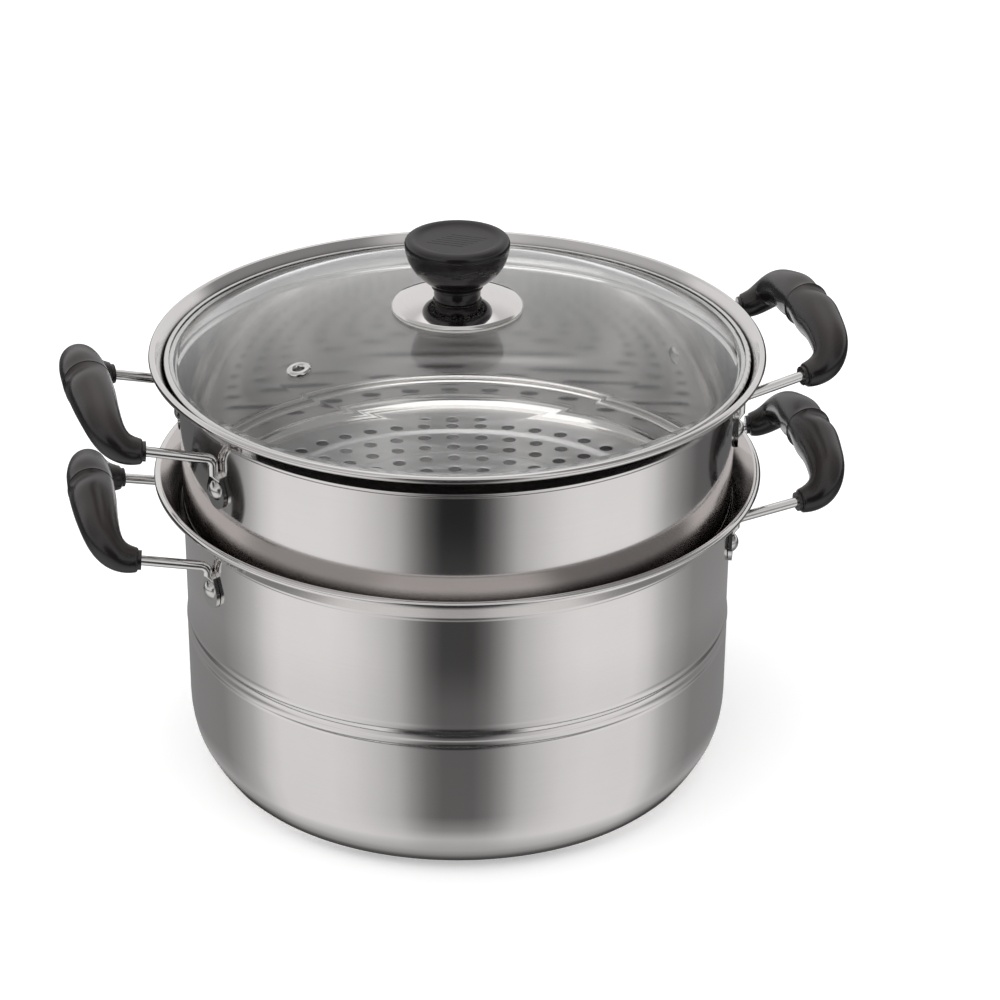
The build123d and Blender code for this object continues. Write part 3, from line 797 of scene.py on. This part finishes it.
saucer_under, _ = sheet_face(saucer_start, 0, saucer_runs, -saucer_sheet, 1.5)
saucer = lathe("knob_dish", saucer_over + list(reversed(saucer_under)), 192)
saucer.data.materials.append(saucer_steel)
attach(saucer, "lid")
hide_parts("knob_saucer")

finish("saucer_seal", silicone)
finish("inner_seal", silicone)
finish("knob_washer", rivet_steel)
finish("knob_screw", rivet_steel)
finish("knob_insert", insert_brass)


# Knob
# Black phenolic moulded in one piece round the brass insert: neck, collar, glossy bowl and a
# satin dish on top with a few shallow ribs for the fingers.
# Its upturned faces get a lighter painted sheen.
knob_black = moulded(
    "knob_black", (0.006, 0.005, 0.005), (0.011, 0.009, 0.009), 0.16, top_gain=0.3, grain=1200.0,
    top_sheen_tone=(0.02, 0.017, 0.017),
)
knob_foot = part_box("knob")[0][2]
knob_neck = 0.0112
collar_pull = 0.0127
collar_foot = 0.003
collar_head = 0.0046
insert_socket = 0.00455
socket_depth = 0.017
bowl_pulls = ((0.0195, 0.009), (0.0248, 0.0165))
knob_radius = 0.0251
knob_widest = 0.025
knob_top = 0.0284
knob_crown = 0.0218
crown_pulls = ((knob_radius, 0.0272), (0.0238, knob_top))
knob_dish = 0.0172
knob_dish_depth = 0.0016
dish_level = knob_top - knob_dish_depth
dish_pulls = ((0.0200, knob_top), (0.0196, dish_level))


def swept(near, near_pull, far_pull, far, steps):
    """Points along a smooth curve after its first end, drawn toward two pulls."""
    ends = [Vector(spot) for spot in (near, near_pull, far_pull, far)]
    points = []
    for step in range(1, steps + 1):
        share = step / steps
        rest = 1 - share
        points.append(
            ends[0] * rest**3 + ends[1] * (3 * rest**2 * share)
            + ends[2] * (3 * rest * share**2) + ends[3] * share**3
        )
    return points


knob_outline = [Vector(spot) for spot in (
    (0, socket_depth), (insert_socket, socket_depth), (insert_socket, 0), (knob_neck, 0),
    (knob_neck, collar_foot),
)]
collar_pulls = ((collar_pull, collar_foot), (collar_pull, collar_head))
knob_corners = (
    (knob_neck, collar_foot), (knob_neck, collar_head), (knob_radius, knob_widest),
    (knob_crown, knob_top), (knob_dish, dish_level),
)
knob_pulls = (collar_pulls, bowl_pulls, crown_pulls, dish_pulls)
knob_steps = (8, 24, 12, 12)
for near, pulls, far, steps in zip(knob_corners, knob_pulls, knob_corners[1:], knob_steps):
    knob_outline += swept(near, *pulls, far, steps)
knob_outline.append(Vector((0, dish_level)))
knob = lathe("knob_bowl", [(spot.x, spot.y + knob_foot) for spot in knob_outline], 160)
knob.data.materials.append(knob_black)
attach(knob, "lid")
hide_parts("knob")

rib_count = 6
rib_spacing = 0.0026
rib_length = 0.018
rib_stagger = 0.0016
rib_half_width = 0.0003
rib_height = 0.0001
rib_root = 0.0001
rib_turn = -29.0
rib_outline = (
    (-rib_half_width, -rib_root), (-rib_half_width * 0.6, rib_height * 0.8), (0, rib_height),
    (rib_half_width * 0.6, rib_height * 0.8), (rib_half_width, -rib_root),
)
ribs = bmesh.new()
for number in range(rib_count):
    across = (number - (rib_count - 1) / 2) * rib_spacing
    shift = (number - (rib_count - 1) / 2) * rib_stagger
    loops = []
    for along in (-rib_length / 2, rib_length / 2):
        loop = []
        for offset, lift in rib_outline:
            spot = turned(Vector((along + shift, across + offset)), rib_turn)
            loop.append(ribs.verts.new((spot.x, spot.y, knob_foot + dish_level + lift)))
        loops.append(loop)
    for step in range(len(rib_outline)):
        following = (step + 1) % len(rib_outline)
        ribs.faces.new((loops[0][step], loops[0][following], loops[1][following], loops[1][step]))
    ribs.faces.new(loops[0])
    ribs.faces.new(loops[1])
bmesh.ops.recalc_face_normals(ribs, faces=ribs.faces)
knob_ribs = finished_mesh("knob_ribs", ribs, 60.0)
knob_ribs.data.materials.append(knob_black)
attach(knob_ribs, "lid")


# Camera
# A long lens a little above the rim, with the handles turned a few degrees off square. Height,
# distance and shift were solved from the outlines of rim, lid and base.
photo_width = 1000.0
focal_pixels = 2964.0
axis_pixel = 457.3
handle_turn = 11.0
camera_reach = 1.30675
camera_height = 0.78828
aim_height = 0.13224

camera_data = bpy.data.cameras.new("camera")
camera_data.sensor_width = 36.0
camera_data.lens = camera_data.sensor_width * focal_pixels / photo_width
camera_data.shift_x = 0.5 - axis_pixel / photo_width
camera_data.clip_end = 50.0
camera = bpy.data.objects.new("camera", camera_data)
bpy.context.scene.collection.objects.link(camera)
camera.location = (
    -camera_reach * sin(radians(handle_turn)),
    -camera_reach * cos(radians(handle_turn)),
    camera_height,
)
camera_aim = Vector((0, 0, aim_height)) - camera.location
camera.rotation_euler = camera_aim.to_track_quat("-Z", "Y").to_euler()
bpy.context.scene.camera = camera


# Floor
# A plain white table that keeps the pot's soft shadow and shows white to the lens, to the steel
# and to the glass.
floor_reach = 6.0
floor_lift = 0.3

floor_data = bpy.data.meshes.new("floor")
floor_data.from_pydata(
    [
        (-floor_reach, -floor_reach, 0), (floor_reach, -floor_reach, 0),
        (floor_reach, floor_reach, 0), (-floor_reach, floor_reach, 0),
    ],
    [],
    [(0, 1, 2, 3)],
)
floor = bpy.data.objects.new("floor", floor_data)
bpy.context.scene.collection.objects.link(floor)


def seen_by(node, link, kinds):
    """One where the ray is any of these kinds, else nothing."""
    path = node("ShaderNodeLightPath")
    total = path.outputs[kinds[0]]
    for kind in kinds[1:]:
        either = node("ShaderNodeMath", operation="MAXIMUM")
        link(total, either.inputs[0])
        link(path.outputs[kind], either.inputs[1])
        total = either.outputs[0]
    return total


floor_white, shader, node, link = new_material("floor_white")
shader.inputs["Base Color"].default_value = (0.93, 0.93, 0.93, 1)
shader.inputs["Roughness"].default_value = 0.7
shader.inputs["Specular IOR Level"].default_value = 0.1
shader.inputs["Emission Color"].default_value = (1, 1, 1, 1)
seen = seen_by(node, link, ("Is Camera Ray", "Is Glossy Ray", "Is Transmission Ray"))
link(spread(node, link, seen, 0.0, floor_lift), shader.inputs["Emission Strength"])
floor_data.materials.append(floor_white)


# Studio cards
# What the polished walls mirror: bright panels left and right of the lens, a dark gap between
# them where the lens stands, and grey room to the sides. Only reflections see them.
# Each row: its reach from the wall, then its tone in the gap, on the panels and at the sides.
card_rows = (
    # The first two rows, under the foot of the wall, are near black: painted contact shadow of the
    # pot in its reflection.
    (-0.016, 0.03, 0.04, 0.03),
    (-0.008, 0.08, 0.1, 0.06),
    (0.0, 0.42, 0.5, 0.3),
    (0.01, 0.52, 0.78, 0.4),
    (0.022, 0.28, 0.78, 0.32),
    (0.045, 0.13, 0.78, 0.24),
    (0.14, 0.12, 0.78, 0.24),
    (0.18, 0.06, 0.84, 0.28),
    (0.27, 0.055, 0.84, 0.26),
    (0.32, 0.02, 0.84, 0.12),
    (0.44, 0.02, 0.82, 0.12),
    (0.7, 0.04, 0.5, 0.1),
    (1.2, 0.03, 0.18, 0.08),
    (5.0, 0.03, 0.15, 0.08),
)
# Turn round the wall in degrees, and the share of the brighter tone there.
gap_edge = ((0, 0.0), (3, 0.0), (6, 0.09), (9, 0.3), (12, 0.58), (16, 0.76), (21, 0.93), (26, 1.0))
panel_edge = ((38, 1.0), (42, 0.8), (46, 0.42), (51, 0.16), (56, 0.0), (90, 0.0))
panel_middle = 32
card_lift = 0.0008
card_span = 88


def along_stops(stops, place):
    """Read a value between stops, held beyond the ends."""
    if place <= stops[0][0]:
        return stops[0][1]
    for (near, low), (far, high) in zip(stops, stops[1:]):
        if place <= far:
            return low + (high - low) * (place - near) / (far - near)
    return stops[-1][1]


cards_mesh = bmesh.new()
tone_layer = cards_mesh.verts.layers.float.new("tone")
columns = []
for wall_angle in range(-card_span, card_span + 1):
    lens_shift = degrees(atan2(
        -wall_radius * sin(radians(wall_angle)),
        camera_reach - wall_radius * cos(radians(wall_angle)),
    ))
    mirrored = radians(2 * wall_angle - lens_shift - 90 - handle_turn)
    facing = radians(wall_angle - 90 - handle_turn)
    column = []
    for reach, gap, panel, side in card_rows:
        turn = abs(wall_angle)
        if turn < panel_middle:
            tone = gap + (panel - gap) * along_stops(gap_edge, turn)
        else:
            tone = side + (panel - side) * along_stops(panel_edge, turn)
        vert = cards_mesh.verts.new((
            wall_radius * cos(facing) + reach * cos(mirrored),
            wall_radius * sin(facing) + reach * sin(mirrored),
            card_lift,
        ))
        vert[tone_layer] = tone
        column.append(vert)
    columns.append(column)
for left, right in zip(columns, columns[1:]):
    for step in range(len(card_rows) - 1):
        cards_mesh.faces.new((left[step], right[step], right[step + 1], left[step + 1]))
cards = finished_mesh("studio_cards", cards_mesh)
card_glow = bpy.data.materials.new("card_glow")
card_glow.use_nodes = True
nodes = card_glow.node_tree.nodes
nodes.remove(nodes["Principled BSDF"])
glow = nodes.new("ShaderNodeEmission")
tone = nodes.new("ShaderNodeAttribute")
tone.attribute_name = "tone"
card_glow.node_tree.links.new(tone.outputs["Fac"], glow.inputs["Strength"])
card_glow.node_tree.links.new(glow.outputs[0], nodes["Material Output"].inputs["Surface"])
cards.data.materials.append(card_glow)
cards.visible_camera = False
cards.visible_diffuse = False
cards.visible_transmission = False
cards.visible_shadow = False


# World and lamps
# An even pale room with one large soft lamp overhead. Reflections see a white backdrop low down,
# a grey ceiling with a soft panel over the table, and the dark side where the lens stands.
world = bpy.data.worlds.new("studio")
bpy.context.scene.world = world
world.use_nodes = True
room_nodes = world.node_tree.nodes
room_link = world.node_tree.links.new
room_strength = 0.85
backdrop_tone = 0.8
backdrop_top = 28
ceiling_tone = 0.62
ceiling_foot = 48
lens_turn = -90 - handle_turn
# Patches of the room: turn, rise, reach and soft edge in degrees, then tone.
room_patches = (
    (lens_turn + 180, 64, 16, 8, 1.0),
    (lens_turn + 85, 40, 26, 14, 0.26),
    (lens_turn - 75, 43, 22, 14, 0.5),
    (lens_turn, 8, 18, 12, 0.04),
)


def room_node(kind, **settings):
    """A node of the room's own shader."""
    made = room_nodes.new(kind)
    for setting, value in settings.items():
        setattr(made, setting, value)
    return made


def toward(turn, rise, edge, soft):
    """One for directions near a turn and a rise, in degrees, fading out past the edge."""
    aim = Vector((
        cos(radians(rise)) * cos(radians(turn)),
        cos(radians(rise)) * sin(radians(turn)),
        sin(radians(rise)),
    ))
    dot = room_node("ShaderNodeVectorMath", operation="DOT_PRODUCT")
    room_link(direction.outputs["Generated"], dot.inputs[0])
    dot.inputs[1].default_value = aim
    fade = room_node("ShaderNodeMapRange", interpolation_type="SMOOTHSTEP")
    fade.inputs["From Min"].default_value = cos(radians(edge + soft))
    fade.inputs["From Max"].default_value = cos(radians(edge))
    room_link(dot.outputs["Value"], fade.inputs["Value"])
    return fade.outputs["Result"]


def blended(share, below, above):
    """Mix a tone into another by a share."""
    mix = room_node("ShaderNodeMix", data_type="RGBA")
    room_link(share, mix.inputs["Factor"])
    for tone, socket in ((below, mix.inputs[6]), (above, mix.inputs[7])):
        if isinstance(tone, float):
            socket.default_value = (tone, tone, tone, 1)
        else:
            room_link(tone, socket)
    return mix.outputs[2]


direction = room_node("ShaderNodeTexCoord")
height = room_node("ShaderNodeSeparateXYZ")
room_link(direction.outputs["Generated"], height.inputs[0])
rise = room_node("ShaderNodeMapRange", interpolation_type="SMOOTHSTEP")
rise.inputs["From Min"].default_value = sin(radians(backdrop_top))
rise.inputs["From Max"].default_value = sin(radians(ceiling_foot))
room_link(height.outputs["Z"], rise.inputs["Value"])
mirrored_room = blended(rise.outputs["Result"], backdrop_tone, ceiling_tone)
for *patch, patch_tone in room_patches:
    mirrored_room = blended(toward(*patch), mirrored_room, patch_tone)
ray = room_node("ShaderNodeLightPath")
sharp = room_node("ShaderNodeMath", operation="MAXIMUM")
room_link(ray.outputs["Is Glossy Ray"], sharp.inputs[0])
room_link(ray.outputs["Is Transmission Ray"], sharp.inputs[1])
room = room_nodes["Background"]
room_link(blended(sharp.outputs[0], 1.0, mirrored_room), room.inputs["Color"])
room_light = room_node("ShaderNodeMapRange")
room_light.inputs["To Min"].default_value = room_strength
room_light.inputs["To Max"].default_value = 1.0
room_link(sharp.outputs[0], room_light.inputs["Value"])
room_link(room_light.outputs["Result"], room.inputs["Strength"])

key_data = bpy.data.lights.new("key", "AREA")
key_data.shape = "RECTANGLE"
key_data.size = 2.0
key_data.size_y = 2.0
key_data.energy = 14.0
key_aim = Vector((0, 0, 0.1))
key = bpy.data.objects.new("key", key_data)
key.location = (-0.35, -0.3, 2.0)
key.visible_glossy = False
key.rotation_euler = (key_aim - key.location).to_track_quat("-Z", "Y").to_euler()
bpy.context.scene.collection.objects.link(key)

bpy.context.scene.view_settings.view_transform = "Standard"
